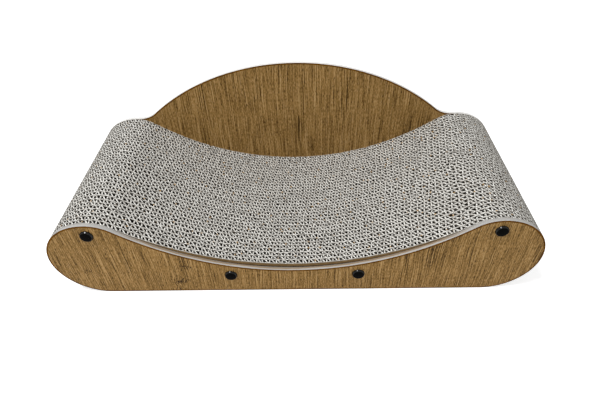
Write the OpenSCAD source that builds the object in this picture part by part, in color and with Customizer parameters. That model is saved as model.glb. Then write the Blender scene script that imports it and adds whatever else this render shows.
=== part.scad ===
// Low pet lounge: corrugated sheets, cut to a bone-shaped profile and stacked
// from front to back with their flutes upright, held between two boards by four
// tie rods with cap nuts.
// Millimetres. X runs along the lounge, -Y is its front, Z is up. The origin is
// on the floor, at the middle of the length and depth.

/* [Lounge] */
// Length over the two rounded ends
body_len = 650; // [600:1:740]
// Height of the rounded ends
lobe_h = 132.5; // [120:0.5:150]
// Radius of each rounded end on its seat side
lobe_in_r = 52; // [46:0.5:58]
// Height of the board's edge at the middle of the seat
board_dip_h = 43; // [34:0.5:56]
// How far the corrugated core stands above that edge
core_proud = 7.5; // [4:0.5:12]

/* [Back rest] */
// Height of the arched back board
arch_h = 224; // [190:1:240]
// Flat shoulder between the arch's foot and the crest of a rounded end
shoulder_w = 23; // [20:0.5:40]
// Radius of the hollow curve at the arch's foot
foot_r = 42; // [15:1:45]

/* [Boards and sheets] */
// Depth over the front and back boards
body_d = 249.6; // [230:0.1:270]
// Thickness of the front and back boards
board_t = 6; // [4:0.5:10]
// Distance from one flute of a corrugated sheet to the next
flute_pitch = 8.5; // [8:0.1:10]
// Thickness of a sheet's flat liner
liner_t = 0.6; // [0.4:0.1:1]
// Width of the crest that is left between two flutes
crest_w = 1; // [0.6:0.1:1.6]

/* [Tie rods] */
// Diameter of a tie rod
rod_d = 6; // [5:0.5:8]
// Distance of the lower rods from the middle of the lounge
low_rod_x = 87; // [60:1:110]
// Distance of the lower rods below the board's edge at the middle of the seat
low_rod_drop = 8.5; // [6:0.5:14]
// Distance of the upper rods below the crest of the rounded ends
high_rod_drop = 17; // [13:0.5:26]
// Bevel at each end of a rod
rod_bevel = 0.8; // [0.4:0.1:1.2]
// Clearance round a rod in the sheets' punched holes
punch_gap = 0.5; // [0.3:0.1:1]

/* [Cap nuts] */
// Diameter of a nut's domed head
head_d = 17; // [14:0.5:20]
// Height of the head at its middle
head_h = 3; // [2.4:0.1:4]
// Height of the head's upright rim
rim_h = 1.2; // [0.8:0.1:1.8]
// Wall of the sleeve that goes into the board
sleeve_wall = 1.5; // [1:0.1:2]
// How far the sleeve stops short of the board's inner face
sleeve_short = 0.5; // [0.3:0.1:1]
// Clearance round the sleeve in the board's hole
sleeve_gap = 0.25; // [0.15:0.05:0.5]
// Clearance of the thread on the rod
thread_gap = 0.05; // [0.02:0.01:0.1]

/* [Hidden] */
sheet_count = 36;

// Overrun of a cut past the face that it goes through
over = 1;
// Lap of two curves that run into each other, so that they cross and don't just touch
lap = 0.01;
$fn = 96;

// The rounded ends
end_r = lobe_h / 2;
end_x = body_len / 2 - end_r;
lobe_in_z = lobe_h - lobe_in_r;

// The stack, from front to back
core_d = body_d - 2 * board_t;
sheet_t = core_d / sheet_count;
front_y = -body_d / 2;
back_y = body_d / 2;

// Each sheet is cut from the board at random, so its flutes start elsewhere: where the
// flutes of three sheets lie, as shares of the pitch, repeated through the stack
flute_shift_shares = [0.22, 0.78, 0.53];

// The arch of the back board passes through its top and its two feet
arch_rise = arch_h - lobe_h;
arch_foot_x = end_x - shoulder_w;
arch_r = (pow(arch_foot_x, 2) + pow(arch_rise, 2)) / (2 * arch_rise);
arch_z = arch_h - arch_r;

// The hollow curve at its foot touches the arch and the flat shoulder
foot_z = lobe_h + foot_r;
foot_x = sqrt(pow(arch_r + foot_r, 2) - pow(foot_z - arch_z, 2));
foot_share = arch_r / (arch_r + foot_r);
touch_x = foot_x * foot_share;
touch_z = arch_z + (foot_z - arch_z) * foot_share;

// Rods and nuts
sleeve_d = rod_d + 2 * (thread_gap + sleeve_wall);
sleeve_len = board_t - sleeve_short;
dome_rise = head_h - rim_h;
dome_r = (pow(head_d / 2, 2) + pow(dome_rise, 2)) / (2 * dome_rise);
rod_places = [
    [-end_x, lobe_h - high_rod_drop],
    [-low_rod_x, board_dip_h - low_rod_drop],
    [low_rod_x, board_dip_h - low_rod_drop],
    [end_x, lobe_h - high_rod_drop]
];

board_color = [0.56, 0.44, 0.29];
sheet_color = [0.74, 0.73, 0.70];
steel_color = [0.70, 0.71, 0.72];
cap_color = [0.06, 0.06, 0.06];

function sheet_name(i) = str("core_sheet_", i < 10 ? "0" : "", i);

// Radius of the seat's arc, which touches the seat side of both rounded ends
function seat_r(dip_h) =
    let (drop = dip_h - lobe_in_z)
    (pow(end_x, 2) + pow(drop, 2) - pow(lobe_in_r, 2)) / (2 * (lobe_in_r - drop));

// Stands a drawing of X and Z upright, from y to y + depth
module upright(y, depth) {
    translate([0, y + depth, 0])
        rotate([90, 0, 0])
            linear_extrude(depth)
                children();
}

// Repeats a drawing at the four rods
module at_rods() {
    for (p = rod_places)
        translate(p)
            children();
}

// Side view of the lounge without its seat
module bar_outline() {
    for (side = [-1, 1])
        translate([side * end_x, end_r])
            circle(r = end_r);
    translate([-end_x, 0])
        square([2 * end_x, lobe_h]);
}

// The seat's hollow: an arc that runs into the tighter curves of the two rounded ends
module seat_hollow(dip_h) {
    r = seat_r(dip_h);
    seat_z = dip_h + r;
    crest_share = (lobe_in_r + over) / (seat_z - lobe_in_z);
    difference() {
        union() {
            translate([0, seat_z])
                circle(r = r);
            for (side = [0, 1])
                mirror([side, 0])
                    polygon([
                        [end_x, lobe_in_z], [end_x, lobe_h + over],
                        [end_x * (1 - crest_share), lobe_h + over]
                    ]);
        }
        for (side = [-1, 1])
            translate([side * end_x, lobe_in_z])
                circle(r = lobe_in_r + lap);
    }
}

// Side view of a piece with the seat cut into it
module seat_outline(dip_h) {
    difference() {
        bar_outline();
        seat_hollow(dip_h);
    }
}

// Side view of the back board: the arch stands on the bar, with a hollow curve at each foot
module back_outline() {
    difference() {
        union() {
            bar_outline();
            intersection() {
                translate([0, arch_z])
                    circle(r = arch_r);
                translate([-end_x, end_r])
                    square([2 * end_x, arch_h]);
            }
            polygon([
                [-foot_x, end_r], [foot_x, end_r], [foot_x, lobe_h],
                [touch_x, touch_z], [-touch_x, touch_z], [-foot_x, lobe_h]
            ]);
        }
        for (side = [-1, 1])
            translate([side * foot_x, foot_z])
                circle(r = foot_r + lap);
    }
}

module front_board() {
    color(board_color)
        upright(front_y, board_t)
            difference() {
                seat_outline(board_dip_h);
                at_rods()
                    circle(d = sleeve_d + 2 * sleeve_gap);
            }
}

module back_board() {
    color(board_color)
        upright(core_d / 2, board_t)
            difference() {
                back_outline();
                at_rods()
                    circle(d = sleeve_d + 2 * sleeve_gap);
            }
}

// Plan of a sheet's open flutes: they narrow from its back to its liner
module flutes() {
    last = ceil(body_len / (2 * flute_pitch));
    mouth_w = flute_pitch - crest_w;
    for (k = [-last : last])
        translate([k * flute_pitch, 0])
            polygon([
                [0, liner_t], [mouth_w / 2, sheet_t], [mouth_w / 2, sheet_t + over],
                [-mouth_w / 2, sheet_t + over], [-mouth_w / 2, sheet_t]
            ]);
}

// One corrugated sheet, counted from the front: a flat liner with the flutes behind it,
// which the next sheet's liner or the back board closes
module core_sheet(i) {
    y = -core_d / 2 + (i - 1) * sheet_t;
    shift_share = flute_shift_shares[(i - 1) % len(flute_shift_shares)];
    color(sheet_color)
        difference() {
            upright(y, sheet_t)
                difference() {
                    seat_outline(board_dip_h + core_proud);
                    at_rods()
                        circle(d = rod_d + 2 * punch_gap);
                }
            translate([shift_share * flute_pitch, y, -over])
                linear_extrude(lobe_h + 2 * over)
                    flutes();
        }
}

// Half section of a rod, which is spun round its axis
module rod_section(len) {
    r = rod_d / 2;
    polygon([
        [0, 0], [r - rod_bevel, 0], [r, rod_bevel],
        [r, len - rod_bevel], [r - rod_bevel, len], [0, len]
    ]);
}

module tie_rods() {
    len = core_d + 2 * (board_t - sleeve_short);
    color(steel_color)
        for (p = rod_places)
            translate([p[0], len / 2, p[1]])
                rotate([90, 0, 0])
                    rotate_extrude()
                        rod_section(len);
}

// A nut with its head up and its sleeve hanging below the plane of the board
module cap_nut() {
    intersection() {
        cylinder(h = head_h, d = head_d);
        translate([0, 0, head_h - dome_r])
            sphere(r = dome_r);
    }
    translate([0, 0, -sleeve_len])
        difference() {
            cylinder(h = sleeve_len, d = sleeve_d);
            translate([0, 0, -over])
                cylinder(h = sleeve_len + over, d = rod_d + 2 * thread_gap);
        }
}

module front_cap_nuts() {
    color(cap_color)
        for (p = rod_places)
            translate([p[0], front_y, p[1]])
                rotate([90, 0, 0])
                    cap_nut();
}

module back_cap_nuts() {
    color(cap_color)
        for (p = rod_places)
            translate([p[0], back_y, p[1]])
                rotate([-90, 0, 0])
                    cap_nut();
}

front_board();
back_board();
for (i = [1 : sheet_count])
    core_sheet(i);
tie_rods();
front_cap_nuts();
back_cap_nuts();
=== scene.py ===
# %% [markdown]
# # A corrugated lounge between two wood-grain boards
#
# The real object is a stack of 36 sheets of corrugated board, cut to one profile and
# clamped from front to back between a low front board and an arched back board. Four
# steel tie rods run through the stack, and glossy black cap nuts close their ends.
#
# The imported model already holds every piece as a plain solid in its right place. This
# script builds, in the same places, what the eye looks for: printed boards with a cut
# edge, folded paper and moulded nuts. The rods look right as they are, so they only get
# their finish.

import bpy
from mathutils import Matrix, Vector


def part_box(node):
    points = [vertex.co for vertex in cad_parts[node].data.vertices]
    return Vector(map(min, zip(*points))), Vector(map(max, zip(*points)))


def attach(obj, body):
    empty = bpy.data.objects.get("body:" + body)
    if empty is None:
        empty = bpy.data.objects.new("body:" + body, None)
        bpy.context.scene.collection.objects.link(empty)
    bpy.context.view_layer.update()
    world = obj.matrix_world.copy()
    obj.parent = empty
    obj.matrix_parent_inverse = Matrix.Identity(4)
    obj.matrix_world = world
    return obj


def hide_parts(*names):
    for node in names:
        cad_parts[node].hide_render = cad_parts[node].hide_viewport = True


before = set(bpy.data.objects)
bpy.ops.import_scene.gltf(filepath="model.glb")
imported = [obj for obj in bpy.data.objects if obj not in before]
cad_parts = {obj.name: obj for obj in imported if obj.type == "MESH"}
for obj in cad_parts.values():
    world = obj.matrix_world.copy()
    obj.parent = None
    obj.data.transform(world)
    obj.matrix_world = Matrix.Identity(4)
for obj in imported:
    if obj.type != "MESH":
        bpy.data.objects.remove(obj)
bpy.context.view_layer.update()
print("nodes on the frame:", len(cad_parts))

# %% [markdown]
# ## Tools and units
#
# bmesh shapes the pieces, and mathutils turns and places them. Blender counts in metres,
# so one factor lets the sizes below be written in millimetres. The random numbers start
# from a fixed seed: the paper is uneven, but in the same way on each run.

# %% Tools and units
import math
import random

import bmesh
import bpy
from mathutils import Matrix, Vector, noise

MM = 0.001
# Points closer than this are one point
TINY = 0.001 * MM
random.seed(7)
print("one metre holds", round(1 / MM), "mm")

# %% [markdown]
# ## The profile
#
# The boards and the sheets share one side view: two round ends, and a long shallow arc
# between them that runs into the tighter curves of the ends. The sizes are those of the
# solids. The arc's radius isn't measured: it follows from the height of the dip, because
# the arc has to touch the round ends. In the dip the core stands 7.5 mm above the board.

# %% Sizes of the profile
LENGTH = 650 * MM
LOBE_H = 132.5 * MM
LOBE_IN_R = 52 * MM
BOARD_DIP = 43 * MM
CORE_DIP = BOARD_DIP + 7.5 * MM
END_R = LOBE_H / 2
END_X = LENGTH / 2 - END_R
LOBE_IN_Z = LOBE_H - LOBE_IN_R


def seat_radius(dip):
    """Radius of the arc through the dip that touches both round ends."""
    drop = dip - LOBE_IN_Z
    return (END_X ** 2 + drop ** 2 - LOBE_IN_R ** 2) / (2 * (LOBE_IN_R - drop))


print("radius of the seat, board and core:",
      round(seat_radius(BOARD_DIP), 4), round(seat_radius(CORE_DIP), 4))

# %% [markdown]
# ### Outlines from spun points
#
# A profile like this could be typed as a list of points, but then nobody could change
# it. A vertex that is spun about a centre draws a true arc, so each half outline is a
# short list of arcs: centre, start, angle and steps. A positive angle turns clockwise,
# seen from the front. Mirror makes the other half, and one filled face closes it.

# %% Arcs of the low profile
def draw_arcs(bm, arcs):
    """Spins one point for each arc and joins it to the end of the arc before."""
    end = None
    for centre, start, angle, steps in arcs:
        point = bm.verts.new((start[0], 0, start[1]))
        if end:
            bm.edges.new((end, point))
        spun = bmesh.ops.spin(bm, geom=[point], cent=(centre[0], 0, centre[1]),
                              axis=(0, 1, 0), angle=angle, steps=steps)
        end = spun["geom_last"][0]


def seat_arcs(dip):
    """Right half of the low profile, from the dip to the underside."""
    radius = seat_radius(dip)
    turn = math.atan2(END_X, dip + radius - LOBE_IN_Z)
    touch = (END_X - LOBE_IN_R * math.sin(turn), LOBE_IN_Z + LOBE_IN_R * math.cos(turn))
    return [((0, dip + radius), (0, dip), -turn, 48),
            ((END_X, LOBE_IN_Z), touch, turn, 16),
            ((END_X, END_R), (END_X, LOBE_H), math.pi, 48)]


print("the arcs meet at", [round(c, 4) for c in seat_arcs(BOARD_DIP)[1][1]])

# %% Arcs of the arched back board
ARCH_H = 224 * MM
FOOT_R = 42 * MM
SHOULDER_W = 23 * MM


def arch_arcs():
    """Right half of the back board: the arch, the hollow at its foot, the round end."""
    rise = ARCH_H - LOBE_H
    foot_x = END_X - SHOULDER_W
    radius = (foot_x ** 2 + rise ** 2) / (2 * rise)
    arch_z = ARCH_H - radius
    hollow_z = LOBE_H + FOOT_R
    hollow_x = math.sqrt((radius + FOOT_R) ** 2 - (hollow_z - arch_z) ** 2)
    turn = math.atan2(hollow_x, hollow_z - arch_z)
    touch = (radius * math.sin(turn), arch_z + radius * math.cos(turn))
    return [((0, arch_z), (0, ARCH_H), turn, 64),
            ((hollow_x, hollow_z), touch, -turn, 12),
            ((END_X, END_R), (END_X, LOBE_H), math.pi, 48)]


print("the arch meets its foot at", [round(c, 4) for c in arch_arcs()[1][1]])

# %% From arcs to a face
def outline_face(arcs):
    """A bmesh with one upright face: the half outline, mirrored and filled."""
    bm = bmesh.new()
    draw_arcs(bm, arcs)
    bmesh.ops.mirror(bm, geom=bm.verts[:] + bm.edges[:], axis="X", merge_dist=10 * TINY)
    bmesh.ops.remove_doubles(bm, verts=bm.verts, dist=TINY)
    # The two loose ends lie on the floor line, and one edge joins them
    ends = [v for v in bm.verts if len(v.link_edges) == 1]
    bmesh.ops.contextual_create(bm, geom=ends)
    bmesh.ops.contextual_create(bm, geom=bm.edges[:])
    return bm


test = outline_face(arch_arcs())
print("edges round the arched board:", len(test.edges), "faces:", len(test.faces))
test.free()

# %% [markdown]
# ## From a bmesh to a piece
#
# Boards and paper get their thickness in the same way: a copy of the faces moves aside,
# and walls grow between the two. Repeated parts are built once each in a bmesh of their
# own and poured together. A finished piece is a mesh object at the origin. It rides on
# the frame, stands for the solids that it replaces, and holds its materials in its
# slots.

# %% Helpers for meshes
def extrude_by(bm, faces, step):
    """Moves a copy of the faces by the step, with walls between old and new."""
    made = bmesh.ops.extrude_face_region(bm, geom=faces)
    moved = [g for g in made["geom"] if isinstance(g, bmesh.types.BMVert)]
    bmesh.ops.translate(bm, verts=moved, vec=step)


def pour(part, bm):
    """Adds a finished part to another bmesh and frees it."""
    carrier = bpy.data.meshes.new("carrier")
    part.to_mesh(carrier)
    part.free()
    bm.from_mesh(carrier)
    bpy.data.meshes.remove(carrier)


def add_piece(name, bm, materials, replaces, smooth_deg=30):
    """Puts a piece in the scene. Edges sharper than smooth_deg stay crisp."""
    bmesh.ops.recalc_face_normals(bm, faces=bm.faces)
    mesh = bpy.data.meshes.new(name)
    bm.to_mesh(mesh)
    bm.free()
    for material in materials:
        mesh.materials.append(material)
    mesh.shade_smooth()
    mesh.set_sharp_from_angle(angle=math.radians(smooth_deg))
    piece = bpy.data.objects.new(name, mesh)
    bpy.context.scene.collection.objects.link(piece)
    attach(piece, "root")
    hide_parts(*replaces)
    return piece


test = outline_face(seat_arcs(CORE_DIP))
extrude_by(test, test.faces[:], (0, MM, 0))
print("faces of a plain thin sheet:", len(test.faces))
test.free()

# %% [markdown]
# ## Materials as small programs
#
# A colour is written as the hex value that a paint program shows, and Blender wants it
# linear, so one function turns it. One helper adds a node, sets what it is told to set
# and plugs in what feeds it. Every pattern is measured on the object: a noise of scale
# 700 has 700 cells in a metre, so its grain is about 1.4 mm.

# %% Colours and nodes
def rgb(code):
    """sRGB hex to a linear RGBA colour."""
    parts = [int(code[i:i + 2], 16) / 255 for i in (0, 2, 4)]
    return tuple(c / 12.92 if c <= 0.04045 else ((c + 0.055) / 1.055) ** 2.4
                 for c in parts) + (1.0,)


def add(tree, kind, inputs=None, stops=(), **settings):
    """Adds a node. A node or socket among its inputs is linked, and text is a colour.
    The stops, place and colour, fill a colour ramp."""
    node = tree.nodes.new("ShaderNode" + kind)
    for key, value in settings.items():
        setattr(node, key, value)
    for key, value in (inputs or {}).items():
        if isinstance(value, bpy.types.Node):
            value = value.outputs[0]
        if isinstance(value, bpy.types.NodeSocket):
            tree.links.new(value, node.inputs[key])
        else:
            is_colour = isinstance(value, str)
            node.inputs[key].default_value = rgb(value) if is_colour else value
    for _ in stops[2:]:
        node.color_ramp.elements.new(1.0)
    for number, (place, code) in enumerate(stops):
        element = node.color_ramp.elements[number]
        element.position, element.color = place, rgb(code)
    return node


def new_material(name, finish):
    """A material, its node tree, its shader with the values of the finish, and the
    coordinates on the object, in metres."""
    material = bpy.data.materials.new(name)
    material.use_nodes = True
    tree = material.node_tree
    tree.nodes.clear()
    shader = add(tree, "BsdfPrincipled", finish)
    add(tree, "OutputMaterial", {"Surface": shader})
    return material, tree, shader, add(tree, "TexCoord").outputs["Object"]


print("mid brown in linear light:", [round(c, 3) for c in rgb("8F7149")])

# %% [markdown]
# ## The printed face of the boards
#
# The boards are pressed fibre board with a printed paper face: a walnut-brown grain that
# runs upright. An image of wood would do, but it would repeat and fit one size only, so
# the grain is summed up from noises, each stretched along Z. The ground has broad bands
# of about 26 mm. Fine grain 1 mm wide and short grit lie on it, and groups of dark
# lines, 1.5 mm wide and about 110 mm long, with paler ones between them. Here and there
# a knot makes the lines swerve and fills them with flecks.

# %% Knots and drift of the grain
# Cells to a metre along X and Z: one knot in each 95 by 59 mm
KNOT_CELLS = (10.5, 0, 17)
# The same for the slow drift of the lines, which changes over 71 by 167 mm
DRIFT_CELLS = (14, 0, 6)
# Width of the strip in which a line drifts, and what a knot adds to it
DRIFT, KNOT_SWERVE = 10 * MM, 18 * MM


def knots(tree, at):
    """1 in the core of each knot and 0 outside it."""
    cells = add(tree, "Mapping", {"Vector": at, "Scale": KNOT_CELLS})
    distance = add(tree, "TexVoronoi", {"Vector": cells, "Scale": 1.0})
    return add(tree, "MapRange", {"Value": distance, "From Min": 0.21, "From Max": 0.07})


def bent_place(tree, at, knot):
    """The place on the board, pushed aside a little, and by more in a knot."""
    drift = add(tree, "Mapping", {"Vector": at, "Scale": DRIFT_CELLS})
    bend = add(tree, "TexNoise", {"Vector": drift, "Scale": 1.0, "Detail": 2.0,
                                  "Roughness": 0.55})
    centred = add(tree, "VectorMath", {0: bend.outputs["Color"], 1: (0.5, 0.5, 0.5)},
                  operation="SUBTRACT")
    reach = add(tree, "Math", {0: knot, 1: KNOT_SWERVE, 2: DRIFT},
                operation="MULTIPLY_ADD")
    push = add(tree, "VectorMath", {0: centred, "Scale": reach}, operation="SCALE")
    return add(tree, "VectorMath", {0: at, 1: push}, operation="ADD")


print("a knot in each cell of",
      [round(1000 / cells) for cells in KNOT_CELLS if cells], "mm")

# %% Wood print
def wood_print():
    """Printed decor paper, lightly sealed: nearly matt, so the grain stays clear."""
    material, tree, shader, at = new_material(
        "wood_print_paper", {"Roughness": 0.6, "Specular IOR Level": 0.08})
    knot = knots(tree, at)
    place = bent_place(tree, at, knot)

    def streaks(width_mm, length_mm, detail, seed, start, end, low, high):
        """Noise drawn out along the grain. From start to end it gives low to high."""
        drawn_out = add(tree, "Mapping", {
            "Vector": place, "Location": (seed, 0, seed),
            "Scale": (1000 / width_mm, 0, 1000 / length_mm)})
        grain = add(tree, "TexNoise", {"Vector": drawn_out, "Scale": 1.0,
                                       "Detail": detail, "Roughness": 0.55})
        return add(tree, "MapRange", {"Value": grain, "From Min": start, "From Max": end,
                                      "To Min": low, "To Max": high})

    groups = streaks(17, 170, 1.0, 12.9, 0.38, 0.62, 0, 1)
    dark_lines = streaks(1.5, 110, 1.0, 7.7, 0.44, 0.39, 0, -0.40)
    value = add(tree, "Math", {0: dark_lines, 1: groups}, operation="MULTIPLY")
    ground = streaks(26, 300, 1.0, 3.1, 0, 1, 0.44, 0.60)
    fine_grain = streaks(1.2, 45, 2.0, 1.9, 0, 1, -0.9, 0.9)
    grit = streaks(1.0, 5, 1.0, 4.1, 0, 1, -0.7, 0.7)
    pale_lines = streaks(1.6, 110, 1.0, 5.9, 0.56, 0.62, 0, 0.30)
    for layer in (ground, fine_grain, grit, pale_lines):
        value = add(tree, "Math", {0: value, 1: layer}, operation="ADD")
    colour = add(tree, "ValToRGB", {"Fac": value}, stops=[
        (0.0, "302009"), (0.28, "654A22"), (0.50, "856739"), (0.72, "9D7A48"),
        (1.0, "B09061")])
    # Pores: dark flecks about 1 mm wide and 7 mm long, more of them in a knot
    flecks = streaks(1.4, 7, 1.0, 5.3, 0, 1, 0, 1)
    denser = add(tree, "Math", {0: knot, 1: 0.19, 2: flecks}, operation="MULTIPLY_ADD")
    pores = add(tree, "MapRange", {"Value": denser, "From Min": 0.66, "From Max": 0.72})
    colour = add(tree, "Mix", {0: pores, 6: colour, 7: "36250F"}, data_type="RGBA")
    tree.links.new(colour.outputs[2], shader.inputs["Base Color"])
    return material


wood_face = wood_print()
print("made", wood_face.name, "with", len(wood_face.node_tree.nodes), "nodes")

# %% [markdown]
# ## The boards' edges
#
# Where the boards are sawn, the pressed board shows its layers, about 2 mm each: pale
# grey outside and beige between. Their colours are partly painted light: the inner layer
# is drawn darker, as painted shade where the board meets the core, and the outer one
# paler, as a painted highlight along the face. Strips of mesh could carry them, but they
# are colour only, so one ramp across the board's thickness draws them and a noise makes
# them uneven. Towards the crests they are blended into one paler, even grey, which is
# painted light from above. The back board's edge is paler. At the rim a warm brown line
# is painted shade along the edge of the print.

# %% Cut edge and rim
DEPTH = 249.6 * MM
BOARD_T = 6 * MM
CREST_FROM, CREST_TO = 95 * MM, 122 * MM
LAYER_PLACES = (0.40, 0.58, 0.74, 0.88)


def cut_edge(name, crest_light_colour, *layer_colours_with_painted_light):
    """Sawn pressed board: matt fibres, so no gloss at all."""
    material, tree, shader, at = new_material(name, {"Roughness": 0.85})
    # Both boards are cut alike: the layers go from the inner face to the outer one
    parts = add(tree, "SeparateXYZ", {0: at})
    from_middle = add(tree, "Math", {0: parts.outputs["Y"]}, operation="ABSOLUTE")
    layer = add(tree, "MapRange", {"Value": from_middle, "From Min": DEPTH / 2 - BOARD_T,
                                   "From Max": DEPTH / 2})
    wander = add(tree, "TexNoise", {"Vector": at, "Scale": 45, "Detail": 2.0})
    uneven_layer = add(tree, "Math", {0: wander, 1: 0.5, 2: layer},
                       operation="MULTIPLY_ADD")
    # Painted light: the inner layer is darker for shade at the core, the outer one paler
    # for a highlight
    colour = add(tree, "ValToRGB", {"Fac": uneven_layer},
                 stops=list(zip(LAYER_PLACES, layer_colours_with_painted_light)))
    # Painted light from above: higher up, towards the crests, the edge turns one paler
    # grey
    crest_light = add(tree, "MapRange", {"Value": parts.outputs["Z"], "From Min": CREST_FROM,
                                   "From Max": CREST_TO, "To Max": 0.85})
    colour = add(tree, "Mix", {0: crest_light, 6: colour, 7: crest_light_colour}, data_type="RGBA")
    tree.links.new(colour.outputs[2], shader.inputs["Base Color"])
    return material


def rim_painted_shade():
    """Painted shade along the edge of the print: a matt dark brown, in patches of about
    11 mm.
    """
    material, tree, shader, at = new_material(
        "print_rim_painted_shade", {"Roughness": 0.7, "Specular IOR Level": 0.05})
    rim_mottle = add(tree, "TexNoise", {"Vector": at, "Scale": 90, "Detail": 3.0})
    colour = add(tree, "ValToRGB", {"Fac": rim_mottle},
                 stops=[(0.35, "503004"), (0.65, "69440B")])
    tree.links.new(colour.outputs[0], shader.inputs["Base Color"])
    return material


front_edge = cut_edge("pressed_board_edge", "B0B0AE",
                      "8F887D", "947A5E", "9D886E", "B2AFAA")
back_edge = cut_edge("pressed_board_edge_pale", "E3E2DF",
                     "D6D3CE", "DDD6CC", "E4E1DC", "EBEAE8")
board_rim = rim_painted_shade()
print("made", front_edge.name, back_edge.name, board_rim.name)

# %% [markdown]
# ## The boards
#
# A board is its outline face with a thickness. Both of its big faces are inset by the
# width of the rim, so that the brown line is a ring of real faces. The rims are also
# bevelled by a few tenths of a millimetre, because a sawn board is never sharp, and the
# bevel is what catches the light.

# %% Build a board
RIM_W = 2.3 * MM
BEVEL = 0.35 * MM
FACE, EDGE, RIM = 0, 1, 2


def board(name, node, arcs, edge):
    """One board in the place of its solid."""
    bm = outline_face(arcs)
    for f in bm.faces:
        f.material_index = FACE
    extrude_by(bm, bm.faces[:], (0, BOARD_T, 0))
    for f in bm.faces:
        if abs(f.normal.y) < 0.5:
            f.material_index = EDGE
    rims = [e for f in bm.faces if abs(f.normal.y) > 0.5 for e in f.edges]
    made = bmesh.ops.bevel(bm, geom=rims, offset=BEVEL, segments=2, profile=0.5,
                           affect="EDGES", material=-1)
    for f in made["faces"]:
        f.material_index = RIM
    big_faces = [f for f in bm.faces if abs(f.normal.y) > 0.99 and len(f.verts) > 20]
    for big_face in big_faces:
        ring = bmesh.ops.inset_region(bm, faces=[big_face], thickness=RIM_W - BEVEL,
                                      use_even_offset=True)
        for f in ring["faces"]:
            f.material_index = RIM
    bmesh.ops.translate(bm, verts=bm.verts, vec=(0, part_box(node)[0].y, 0))
    return add_piece(name, bm, [wood_face, edge, board_rim], [node])


front = board("front_board_printed", "front_board", seat_arcs(BOARD_DIP), front_edge)
back = board("back_board_printed", "back_board", arch_arcs(), back_edge)
for piece in (front, back):
    print(piece.name, [round(d, 4) for d in piece.dimensions], len(piece.data.polygons))

# %% [markdown]
# ## Paper of the corrugated sheets
#
# The sheets are recycled board, pale and fibrous where the knife cut them, which is what
# shows from above. The folds and liners are drawn a darker grey than the cut edge, which
# is painted shade for the flutes: the paper is one grey throughout. Warm brown fibres
# lie here and there. Only the liner at the very front is brown kraft paper. Little light
# falls into a real flute. Under even studio light it stays too pale, so the paper itself
# gets darker below its cut edge, as painted shade. How far a point lies below the edge
# is stored in the mesh as below_cut, in millimetres.

# %% Papers
def grey_paper(name, low, high, spot_colour, shade=None):
    """Recycled paper: soft fibres that scatter all light. Real fibres are too fine to
    show, so they are drawn as a mottle of 1.4 mm."""
    material, tree, shader, at = new_material(
        name, {"Roughness": 0.95, "Specular IOR Level": 0.2})
    mottle = add(tree, "TexNoise", {"Vector": at, "Scale": 700, "Detail": 2.0})
    colour = add(tree, "ValToRGB", {"Fac": mottle}, stops=[(0.38, low), (0.60, high)])
    if shade:
        below = add(tree, "Attribute", attribute_name="below_cut").outputs["Fac"]
        deep = add(tree, "MapRange", {"Value": below, "From Min": 0.0, "From Max": 2.6})
        colour = add(tree, "Mix", {0: deep, 6: colour, 7: shade}, data_type="RGBA")
        colour = colour.outputs[2]
    # Fibre bundles 2 to 3 mm across, about one in each 11 mm
    spots = add(tree, "TexVoronoi", {"Vector": at, "Scale": 90})
    spot = add(tree, "MapRange", {"Value": spots, "From Min": 0.165, "From Max": 0.11})
    colour = add(tree, "Mix", {0: spot, 6: colour, 7: spot_colour}, data_type="RGBA")
    tree.links.new(colour.outputs[2], shader.inputs["Base Color"])
    return material


def kraft_paper():
    """Brown kraft paper: matt, with fibres of about 8 by 2 mm along the sheet."""
    material, tree, shader, at = new_material(
        "brown_kraft_liner", {"Roughness": 0.9, "Specular IOR Level": 0.2})
    flat_fibres = add(tree, "Mapping", {"Vector": at, "Scale": (120, 300, 500)})
    fibres = add(tree, "TexNoise", {"Vector": flat_fibres, "Scale": 1.0, "Detail": 4.0})
    colour = add(tree, "ValToRGB", {"Fac": fibres},
                 stops=[(0.30, "624C2E"), (0.70, "7F6540")])
    # Painted shade in the corner where the liner goes down behind the board
    below = add(tree, "Attribute", attribute_name="below_cut").outputs["Fac"]
    joint_shade = add(tree, "MapRange", {"Value": below, "From Min": 5.0, "From Max": 7.0})
    colour = add(tree, "Mix", {0: joint_shade, 6: colour, 7: "332B20"}, data_type="RGBA")
    # The knife tears its top edge, which is as pale as the sheets behind it
    torn = add(tree, "MapRange", {"Value": below, "From Min": 1.6, "From Max": 1.0})
    colour = add(tree, "Mix", {0: torn, 6: colour.outputs[2], 7: "918B81"},
                 data_type="RGBA")
    tree.links.new(colour.outputs[2], shader.inputs["Base Color"])
    return material


cut_paper = grey_paper("recycled_paper_cut", "918B82", "FFFEF8", "B8986C")
# Painted shade: the folds and liners, and their fibre spots, are darker than the cut
# paper
wall_paper = grey_paper("recycled_paper_fold", "6E685F", "9A948B", "80653F",
                        shade="1A1611")
liner_paper = grey_paper("recycled_paper_liner", "6E685F", "9A948B", "74593A",
                         shade="1A1611")
PAPERS = [cut_paper, wall_paper, liner_paper, kraft_paper()]
CUT, WALL, LINING, KRAFT = range(4)
print("made", [m.name for m in PAPERS])

# %% [markdown]
# ## Corrugated sheets
#
# One sheet is a folded paper between two flat liners, 6.6 mm thick in all, with a fold
# every 8.5 mm. A boolean cut of every flute would be slow and leave slivers. A grid is
# lighter: it stands upright along X, each column of its points moves to its place on the
# wave, its foot goes to the underside and its head to the seat's curve. So the first
# need is the height of both outlines at any x.

# %% Heights of the core along the lounge
SEAT_R = seat_radius(CORE_DIP)
# Here the seat's arc runs into the tighter curve of a round end
TOUCH_X = END_X * SEAT_R / (SEAT_R + LOBE_IN_R)


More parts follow.
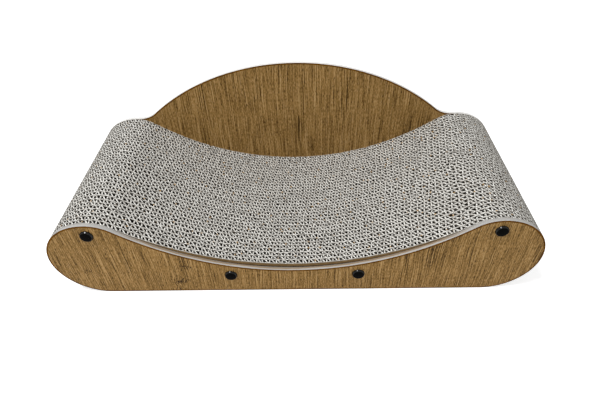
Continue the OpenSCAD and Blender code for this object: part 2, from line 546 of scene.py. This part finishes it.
def core_top(x):
    """Height of the core's upper outline at x."""
    x = abs(x)
    if x < TOUCH_X:
        return CORE_DIP + SEAT_R - math.sqrt(SEAT_R ** 2 - x ** 2)
    if x < END_X:
        return LOBE_IN_Z + math.sqrt(LOBE_IN_R ** 2 - (x - END_X) ** 2)
    return END_R + math.sqrt(max(END_R ** 2 - (x - END_X) ** 2, 0))


def core_foot(x):
    """Height of its lower outline: flat, then round under the ends."""
    over = max(abs(x) - END_X, 0)
    return END_R - math.sqrt(max(END_R ** 2 - over ** 2, 0))


def below_cut(x, z):
    """Distance of a point of a sheet from its cut edge."""
    x = abs(x)
    if x > END_X:
        return END_R - math.hypot(x - END_X, z - END_R)
    if x < TOUCH_X:
        return math.hypot(x, CORE_DIP + SEAT_R - z) - SEAT_R
    return abs(LOBE_IN_R - math.hypot(x - END_X, z - LOBE_IN_Z))


print("core top at the middle, side and end:",
      [round(core_top(x), 4) for x in (0, 0.2, 0.32)])

# %% [markdown]
# ### The wave
#
# A plain sine looks wrong: glue holds the crests of the real paper flat on the liners,
# and its sides are steep. A sine that is squeezed by tanh gives both. No two folds are
# alike either, so a smooth noise shifts them along the sheet. Its quick part differs
# from sheet to sheet, and its slow part is alike in about four, so rows drift together.

# %% Wave and noise
PITCH = 8.5 * MM
STEEP = 0.5
FLAT = 3.6


def smooth_noise(*place):
    """Perlin noise, stretched to about -1 to 1."""
    return 1.6 * noise.noise(place)


def fold(turns, steep, flat):
    """A wave from -1 to 1 with flat crests. It climbs in the steep share of a turn."""
    along = (turns + steep / 2) % 1
    if along < steep:
        phase = along / steep / 2 - 0.25
    else:
        phase = 0.25 + (along - steep) / (1 - steep) / 2
    return math.tanh(flat * math.sin(2 * math.pi * phase)) / math.tanh(flat)


def uneven(x, row, waves_per_metre, seed, rows_alike=0.15):
    """Smooth noise along a sheet, about -1 to 1. It is alike over so many rows, and
    below 1 each row is on its own."""
    return smooth_noise(x * waves_per_metre, row / rows_alike, seed)


print("half a wave:", [round(fold(t / 12, STEEP, FLAT), 2) for t in range(-3, 4)])

# %% [markdown]
# ### One folded paper
#
# Solidify would give all sides one thickness. Here a copy of the sheet moves aside
# instead, so the thickness differs: the papers are about 0.3 mm thick, but a knife frays
# their cut edges to broad pale lines, and the lines are what shows from a step away. A
# fold's steep sides fray more than its crests, which the liners hold. The knife also
# pushes the folds over, so both sides of a fold lean the same way.

# %% Fold one paper
# Points along one fold
STEPS = 12
LINER = 0.6 * MM
SIDE, CREST = 1.5 * MM, 0.6 * MM
# A row of points lies this far below the cut edge, so that only the lip is ragged
LIP = 6 * MM
LEAN = 0.4
# The folds stay this much clear of the liners
SLACK = 0.05 * MM


def folded_paper(bm, front_y, depth, phase, row):
    """The folded paper of one sheet. The row is the sheet's number in the stack."""
    half = LENGTH / 2 - SIDE - LEAN * depth / 2
    columns = round(2 * half / PITCH * STEPS)
    made = bmesh.ops.create_grid(bm, x_segments=columns, y_segments=2, size=0.5)
    swing = (depth - 2 * LINER - CREST) / 2 - SLACK
    steep, flat = STEEP + random.uniform(-0.06, 0.06), FLAT * random.uniform(0.7, 1.3)
    for v in made["verts"]:
        x, level = 2 * half * v.co.x, round(2 * v.co.y)
        # Shifts are shares of a fold: a quick one, and a slow one that rows share
        shift = 0.12 * uneven(x, row, 30, 4) + 0.2 * uneven(x, row, 9, 2, 4)
        # A fold wanders more at its cut edge than below it
        if level == 1:
            shift += 0.09 * uneven(x, row, 150, 9)
        # Some folds are pressed flatter, by up to a third
        crushed = 1 - 0.35 * max(uneven(x, row, 55, 6), 0)
        wave = fold(x / PITCH + phase + shift, steep, flat)
        y = front_y + (depth - CREST) / 2 + swing * crushed * wave
        v.co = (x - SIDE / 2 - LEAN * (y - front_y - depth / 2), y, level)
    for f in bm.faces:
        f.material_index = WALL
    old = set(made["verts"])
    extrude_by(bm, bm.faces[:], (SIDE, CREST, 0))
    bmesh.ops.recalc_face_normals(bm, faces=bm.faces[:])
    # The rim is the cut edge: its faces join the first points to the moved ones
    for f in bm.faces:
        if 0 < sum(v in old for v in f.verts) < len(f.verts):
            f.material_index = CUT
    # Until now each point's Z was its level: the foot, below the lip or the cut edge
    for v in bm.verts:
        x, level = v.co.x, round(v.co.z)
        top, foot = core_top(x), core_foot(x)
        # The knife leaves the cut edge ragged, in millimetres below the outline
        sunk = 0.35 + 0.2 * uneven(x, row, 260, 0) + 0.5 * max(uneven(x, row, 70, 3), 0)
        top -= sunk * MM
        v.co.z = (foot, max(top - LIP, foot + 0.3 * (top - foot)), top)[level + 1]


print("folds in a sheet:", round(LENGTH / PITCH))

# %% [markdown]
# ### Liners and the knife's push
#
# A liner is the core's outline, as thin as paper. Two narrow bands along its cut edge
# give the shade of the paper its own points. The pull of the knife bends the whole stack
# to and fro by about a millimetre, and neighbouring sheets alike, so one noise in space
# moves them all. It fades towards the boards, which hold the stack, and to the floor.

# %% Liner and crush
SHADE_BANDS = (2.4 * MM, 5 * MM)
CORE_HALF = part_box("core_sheet_36")[1].y
CRUSH = 1.3 * MM
# Waves of the push to a metre, along the lounge and from front to back
CRUSH_X, CRUSH_Y = 28, 60
# Beyond this distance the board's hold on the stack is gone
HOLD = 12 * MM


def liner(bm, y, material_index):
    """Adds a liner whose front face lies at y."""
    sheet = outline_face(seat_arcs(CORE_DIP))
    for width in SHADE_BANDS:
        middle = max(sheet.faces, key=lambda f: f.calc_area())
        bmesh.ops.inset_region(sheet, faces=[middle], thickness=width,
                               use_boundary=True, use_even_offset=True)
    extrude_by(sheet, sheet.faces[:], (0, LINER, 0))
    bmesh.ops.translate(sheet, verts=sheet.verts, vec=(0, y, 0))
    sheet.normal_update()
    for f in sheet.faces:
        f.material_index = material_index if abs(f.normal.y) > 0.5 else CUT
    pour(sheet, bm)


def crush(bm):
    """Presses the cut edges to and fro, alike in all sheets that meet at a place."""
    for v in bm.verts:
        x, y, z = v.co
        room = min(1, (CORE_HALF - abs(y)) / HOLD)
        grip = min(1, 2 * z / core_top(x))
        v.co.y += CRUSH * room * grip * smooth_noise(x * CRUSH_X, y * CRUSH_Y, 20)


print("the core ends at", round(CORE_HALF, 4), "m to the front and back")

# %% [markdown]
# ### The stack
#
# Each sheet fills the box of its own solid. In the photograph the flutes form slanting
# lines, because each sheet starts about a tenth of a fold further along than the one
# before it. The first sheet has the brown kraft liner.

# %% Build the sheets
SKEW = -0.113


def corrugated_sheet(number):
    """Sheet number 1 is the one behind the front board."""
    node = f"core_sheet_{number:02d}"
    low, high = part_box(node)
    bm = bmesh.new()
    phase = SKEW * number + random.uniform(-0.06, 0.06)
    folded_paper(bm, low.y, high.y - low.y, phase, number)
    liner(bm, low.y, KRAFT if number == 1 else LINING)
    liner(bm, high.y - LINER, LINING)
    depth_mm = bm.verts.layers.float.new("below_cut")
    for v in bm.verts:
        v[depth_mm] = below_cut(v.co.x, v.co.z) / MM
    crush(bm)
    return add_piece(f"corrugated_sheet_{number:02d}", bm, PAPERS, [node],
                     smooth_deg=40)


sheets = [corrugated_sheet(number) for number in range(1, 37)]
print("sheets:", len(sheets), "faces in one:", len(sheets[0].data.polygons))

# %% [markdown]
# ## Cap nuts and tie rods
#
# The nuts are moulded in glossy black plastic over a steel thread: a low round head with
# a flat middle and a sloping rim, and a sleeve that goes through the board. The rim's
# slope matters most, because it throws the light of the key lamp at the eye, while the
# flat middle stays dull. A nut could be joined from cylinders, but a short section, spun
# once round the rod's axis, gives the whole shape. The zinc-plated rods lie inside and
# show only where the lounge is cut open.

# %% Black plastic and zinc
def black_plastic(name, gloss):
    """Moulded black ABS: a deep black with a clear, slightly hazy mirror of the lamps.
    The haze has a grain of 2 mm, from the skin of the mould."""
    material, tree, shader, at = new_material(
        name, {"IOR": 1.52, "Specular IOR Level": gloss})
    haze = add(tree, "TexNoise", {"Vector": at, "Scale": 500, "Detail": 2.0})
    colour = add(tree, "ValToRGB", {"Fac": haze},
                 stops=[(0.35, "030303"), (0.65, "080706")])
    tree.links.new(colour.outputs[0], shader.inputs["Base Color"])
    rough = add(tree, "MapRange", {"Value": haze, "To Min": 0.10, "To Max": 0.16})
    tree.links.new(rough.outputs[0], shader.inputs["Roughness"])
    return material


def zinc_steel():
    """Zinc-plated steel: a soft grey mirror with spangles of 1.7 mm and fine turned
    grooves, three to a millimetre."""
    material, tree, shader, at = new_material(
        "zinc_plated_steel", {"Metallic": 1.0, "Roughness": 0.32})
    spangle = add(tree, "TexNoise", {"Vector": at, "Scale": 600, "Detail": 2.0})
    colour = add(tree, "ValToRGB", {"Fac": spangle},
                 stops=[(0.3, "9EA1A4"), (0.7, "C3C6C8")])
    tree.links.new(colour.outputs[0], shader.inputs["Base Color"])
    turns = add(tree, "Mapping", {"Vector": at, "Scale": (0, 1000, 0)})
    grooves = add(tree, "TexWave", {"Vector": turns, "Scale": 1.0}, bands_direction="Y")
    bump = add(tree, "Bump", {"Height": grooves.outputs["Fac"], "Strength": 0.4,
                              "Distance": 0.3 * MM})
    tree.links.new(bump.outputs[0], shader.inputs["Normal"])
    return material


black_rim = black_plastic("polished_black_abs", 0.22)
black_top = black_plastic("satin_black_abs", 0.01)
zinc = zinc_steel()
print("made", black_rim.name, black_top.name, zinc.name)

# %% Spin one nut
HEAD_R = 8.5 * MM
HEAD_H = 3 * MM
CHAMFER_W, CHAMFER_H = 0.9 * MM, 1.93 * MM
CORNER = 0.25 * MM
SLEEVE_R = 4.55 * MM
SLEEVE_LEN = 5.5 * MM
BORE_R = 3.05 * MM
NUT_RIM, NUT_TOP = 0, 1


def nut_section(bm):
    """Half section of a nut: radius along X, height of the head along +Y."""
    corners = [(0, HEAD_H), (HEAD_R - CHAMFER_W, HEAD_H), (HEAD_R, HEAD_H - CHAMFER_H),
               (HEAD_R, 0), (SLEEVE_R, 0), (SLEEVE_R, -SLEEVE_LEN),
               (BORE_R, -SLEEVE_LEN), (BORE_R, 0), (0, 0)]
    points = [bm.verts.new((r, h, 0)) for r, h in corners]
    for a, b in zip(points, points[1:]):
        bm.edges.new((a, b))


def cap_nut():
    """One nut with its head towards +Y and its board's face at y = 0."""
    bm = bmesh.new()
    nut_section(bm)
    bmesh.ops.spin(bm, geom=bm.verts[:] + bm.edges[:], cent=(0, 0, 0), axis=(0, 1, 0),
                   angle=2 * math.pi, steps=64, use_merge=True)
    bmesh.ops.remove_doubles(bm, verts=bm.verts, dist=TINY)
    # The corner between the flat middle and the chamfer is rounded
    on_corner = {v for v in bm.verts if abs(v.co.y - HEAD_H) < TINY
                 and v.co.xz.length > HEAD_R - CHAMFER_W - 10 * TINY}
    corner = [e for e in bm.edges if on_corner.issuperset(e.verts)]
    bmesh.ops.bevel(bm, geom=corner, offset=CORNER, segments=4, profile=0.5,
                    affect="EDGES", material=-1)
    for f in bm.faces:
        is_top = f.calc_center_median().y > HEAD_H - TINY
        f.material_index = NUT_TOP if is_top else NUT_RIM
    return bm


test = cap_nut()
print("faces in a nut:", len(test.faces))
test.free()

# %% Place the nuts and finish the rods
HIGH_ROD_Z = LOBE_H - 17 * MM
LOW_ROD_X, LOW_ROD_Z = 87 * MM, BOARD_DIP - 8.5 * MM
ROD_PLACES = [(-END_X, HIGH_ROD_Z), (-LOW_ROD_X, LOW_ROD_Z),
              (LOW_ROD_X, LOW_ROD_Z), (END_X, HIGH_ROD_Z)]


def nut_row(name, node, face_y, faces_front):
    """The four nuts on the outer face of one board."""
    bm = bmesh.new()
    for x, z in ROD_PLACES:
        nut = cap_nut()
        if faces_front:
            bmesh.ops.rotate(nut, verts=nut.verts, cent=(0, 0, 0),
                             matrix=Matrix.Rotation(math.pi, 3, "X"))
        bmesh.ops.translate(nut, verts=nut.verts, vec=(x, face_y, z))
        pour(nut, bm)
    return add_piece(name, bm, [black_rim, black_top], [node],
                     smooth_deg=20)


front_nuts = nut_row("front_cap_nuts_moulded", "front_cap_nuts",
                     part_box("front_board")[0].y, True)
back_nuts = nut_row("back_cap_nuts_moulded", "back_cap_nuts",
                    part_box("back_board")[1].y, False)
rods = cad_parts["tie_rods"]
rods.data.materials.clear()
rods.data.materials.append(zinc)
for piece in (front_nuts, back_nuts, rods):
    print(piece.name, len(piece.data.polygons), "faces")

# %% [markdown]
# ## The studio
#
# The object stands on a white floor under soft, even light. The world lights it from all
# sides at somewhat less than half strength and two large lamps add the rest, so that a
# colour renders about as it is written. More light would clip the pale paper. The
# background gets its white in another way: what the eye sees directly is plain white,
# and that white lights nothing.

# %% Floor
FLOOR_REACH = 8
# The floor lies a little lower than the underside, so that the two don't flicker
FLOOR_DROP = 0.2 * MM
FLOOR_GLOW = 0.54


def seen_direct(tree):
    """1 where the eye sees a surface itself, in a mirror or through glass, else 0."""
    # The first output of Light Path is Is Camera Ray
    path = add(tree, "LightPath")
    seen = add(tree, "Math", {0: path, 1: path.outputs["Is Glossy Ray"]},
               operation="MAXIMUM")
    return add(tree, "Math", {0: seen, 1: path.outputs["Is Transmission Ray"]},
               operation="MAXIMUM")


def floor_paint():
    """Matt white paint, with clouds of about 0.3 m that are hardly there."""
    material, tree, shader, at = new_material("white_floor", {
        "Roughness": 1.0, "Specular IOR Level": 0.0, "Emission Color": "FFFFFF"})
    grey = add(tree, "TexNoise", {"Vector": at, "Scale": 3})
    colour = add(tree, "ValToRGB", {"Fac": grey},
                 stops=[(0.3, "F4F4F4"), (0.7, "F6F6F6")])
    tree.links.new(colour.outputs[0], shader.inputs["Base Color"])
    # A little white for the eye alone, and the shadow still shows
    glow = add(tree, "Math", {0: seen_direct(tree), 1: FLOOR_GLOW},
               operation="MULTIPLY")
    tree.links.new(glow.outputs[0], shader.inputs["Emission Strength"])
    return material


bm = bmesh.new()
bmesh.ops.create_grid(bm, x_segments=1, y_segments=1, size=FLOOR_REACH)
bmesh.ops.translate(bm, verts=bm.verts, vec=(0, 0, -FLOOR_DROP))
floor_mesh = bpy.data.meshes.new("floor")
bm.to_mesh(floor_mesh)
bm.free()
floor_mesh.materials.append(floor_paint())
floor = bpy.data.objects.new("floor", floor_mesh)
bpy.context.scene.collection.objects.link(floor)
print("floor:", [round(d, 1) for d in floor.dimensions], "m")

# %% Light
world = bpy.data.worlds.new("studio")
bpy.context.scene.world = world
world.use_nodes = True
sky = world.node_tree
sky.nodes.clear()
ambient = add(sky, "Background", {"Color": "FFFFFF", "Strength": 0.45})
white = add(sky, "Background", {"Color": "FFFFFF", "Strength": 1.0})
shown = add(sky, "MixShader", {0: seen_direct(sky), 1: ambient, 2: white})
add(sky, "OutputWorld", {"Surface": shown})

LAMP_TARGET = Vector((0, 0, 0.05))


def soft_lamp(name, place, size, watts):
    """A round lamp, as wide as its size, that points at the seat."""
    data = bpy.data.lights.new(name, "AREA")
    data.shape, data.size, data.energy = "DISK", size, watts
    lamp = bpy.data.objects.new(name, data)
    lamp.location = place
    aim = (LAMP_TARGET - Vector(place)).to_track_quat("-Z", "Y")
    lamp.rotation_euler = aim.to_euler()
    bpy.context.scene.collection.objects.link(lamp)


soft_lamp("key", (-0.7, -0.5, 2.2), 0.6, 34)
soft_lamp("fill", (0.0, -2.3, 0.9), 1.2, 10)

# %% [markdown]
# ## The camera
#
# The photograph looks down at about 42 degrees from close by, a little to the right of
# the middle. Euler angles would mix the three turns, so the camera's axes are worked out
# one by one from its yaw, pitch and roll: forward, across the picture and down it. The
# focal length was found in pixels of a frame 600 wide.

# %% Camera
YAW, PITCH_DOWN, ROLL = -0.0267, 0.7405, 0.0325
FOCAL_PX, FRAME_PX, SENSOR_MM = 451.3, 600, 36.0
CAMERA_PLACE = (0.0211, -0.5112, 0.5249)

forward = Vector((math.sin(YAW) * math.cos(PITCH_DOWN),
                  math.cos(YAW) * math.cos(PITCH_DOWN), -math.sin(PITCH_DOWN)))
level = Vector((math.cos(YAW), -math.sin(YAW), 0))
down = forward.cross(level)
across = math.cos(ROLL) * level + math.sin(ROLL) * down
along_down = -math.sin(ROLL) * level + math.cos(ROLL) * down
camera_data = bpy.data.cameras.new("camera")
camera_data.sensor_width = SENSOR_MM
camera_data.lens = FOCAL_PX * SENSOR_MM / FRAME_PX
camera = bpy.data.objects.new("camera", camera_data)
axes = Matrix((across, -along_down, -forward)).transposed()
camera.matrix_world = Matrix.Translation(CAMERA_PLACE) @ axes.to_4x4()
bpy.context.scene.collection.objects.link(camera)
bpy.context.scene.camera = camera
bpy.context.scene.view_settings.view_transform = "Standard"
print("lens:", round(camera_data.lens, 2), "mm, looking down by",
      round(math.degrees(PITCH_DOWN), 1), "degrees")
